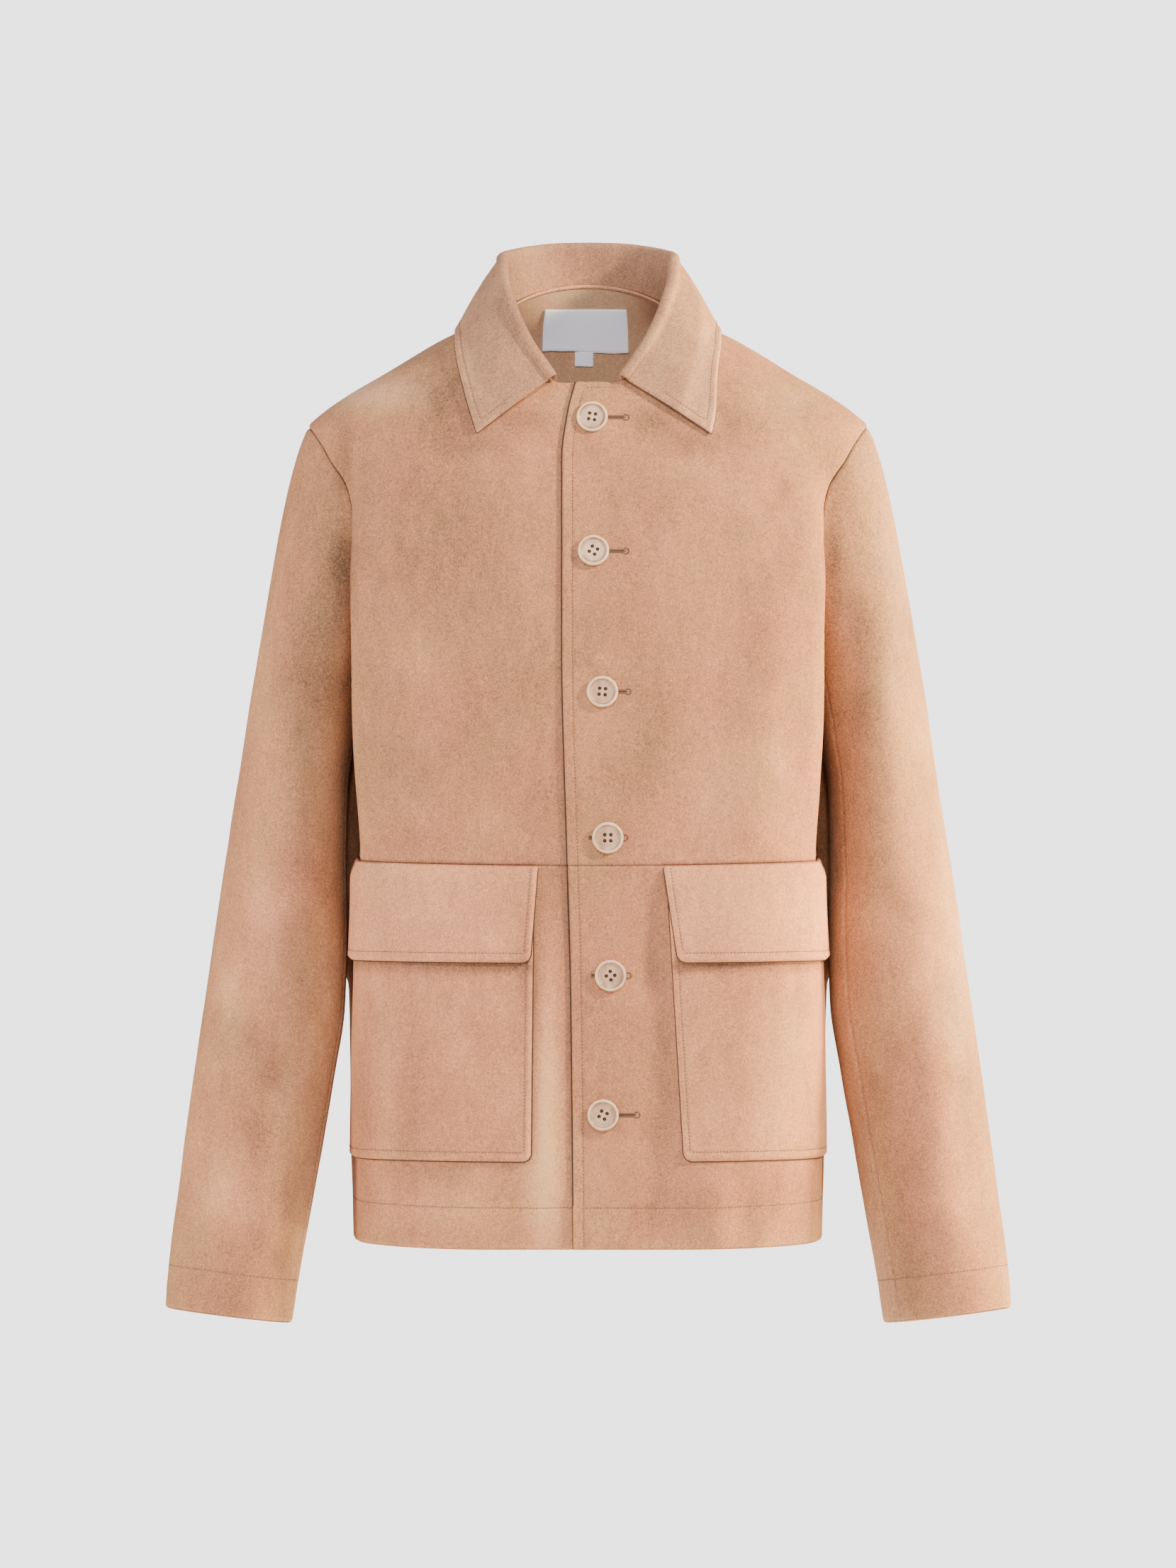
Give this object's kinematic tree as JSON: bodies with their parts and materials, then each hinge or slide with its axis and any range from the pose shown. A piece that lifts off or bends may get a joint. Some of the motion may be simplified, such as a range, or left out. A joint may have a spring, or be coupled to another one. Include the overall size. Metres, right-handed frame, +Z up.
{
  "type": "suede jacket",
  "caption": "Button-front suede jacket with a point collar, set-in sleeves, a waist seam and patch pockets with flaps, filled out as worn and hollow",
  "frame": {"origin": "the middle of the neck, level with the points beside the neck where the wearer's shoulders carry the jacket", "axes": "+X to the wearer's left, -Y to the front, +Z up"},
  "size_m": [0.623, 0.2359, 0.7973],
  "materials": {
    "suede": "napped suede, soft and matte",
    "button": "polished horn look",
    "label": "smooth woven ribbon"
  },
  "bodies": {
    "root": {"back": "suede", "front_left_upper": "suede", "front_left_lower": "suede", "front_right_upper": "suede", "front_right_lower": "suede", "sleeve_left": "suede", "sleeve_right": "suede", "collar": "suede", "pocket_left": "suede", "pocket_right": "suede", "flap_left": "suede", "flap_right": "suede", "button_1": "button", "button_2": "button", "button_3": "button", "button_4": "button", "button_5": "button", "button_6": "button", "neck_label": "label", "size_label": "label"}
  },
  "joints": []
}
